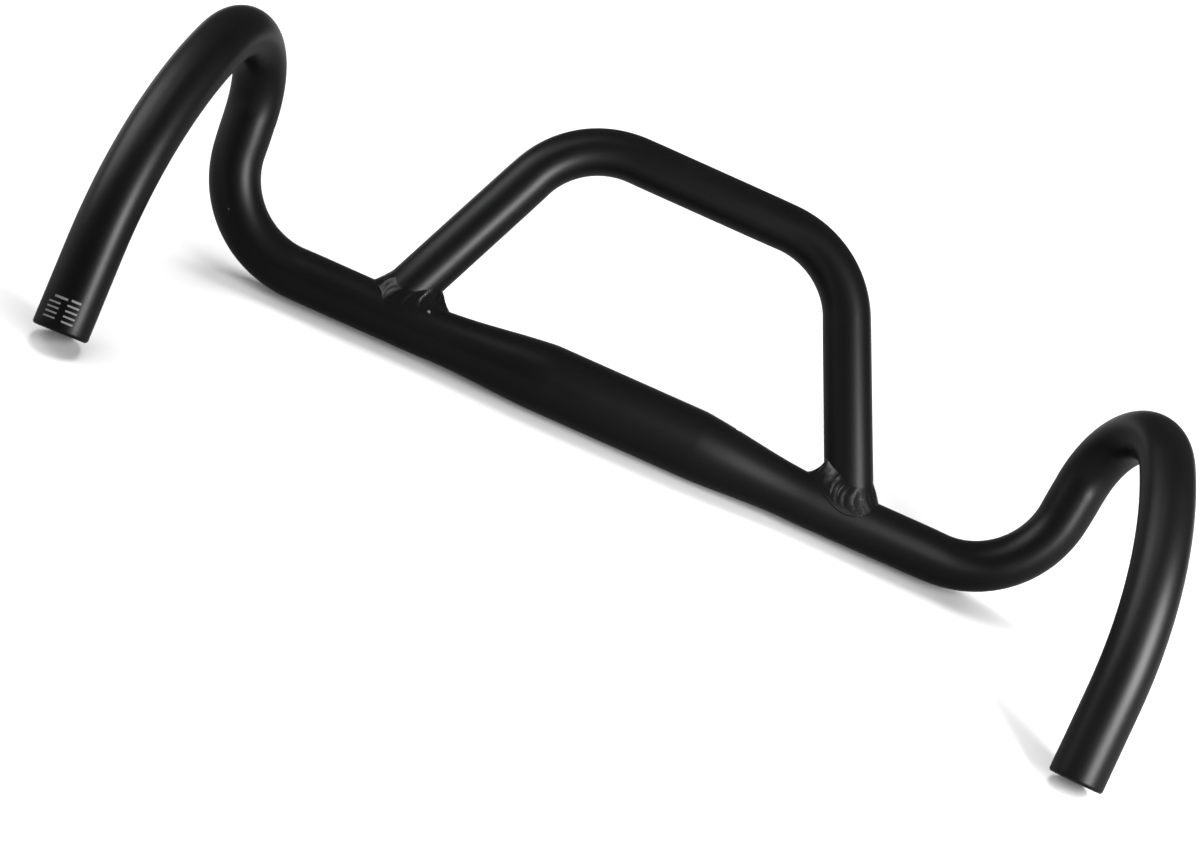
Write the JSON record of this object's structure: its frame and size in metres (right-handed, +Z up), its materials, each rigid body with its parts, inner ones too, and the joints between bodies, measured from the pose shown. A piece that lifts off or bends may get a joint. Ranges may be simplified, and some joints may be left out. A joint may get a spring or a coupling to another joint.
{
  "type": "road bike handlebar",
  "caption": "Flared drop handlebar in satin black tube, with a bulged stem clamp and a bent accessory loop welded to the tops.",
  "frame": {"origin": "centre of the stem clamp, on its axis", "axes": "+X along the stem clamp to the right, +Z up with the reach of the bar upward, the drops on the -Y side; it stands on the two ends of the clamp bulge and the two drop ends"},
  "size_m": [0.4818, 0.2132, 0.1241],
  "materials": {
    "bar_black": "satin black over aluminium",
    "loop_black": "satin black over aluminium",
    "weld_black": "satin black over rippled weld"
  },
  "bodies": {
    "root": {"drop_bar": "bar_black", "accessory_loop": "loop_black", "weld_bead_left": "weld_black", "weld_bead_right": "weld_black"}
  },
  "joints": []
}
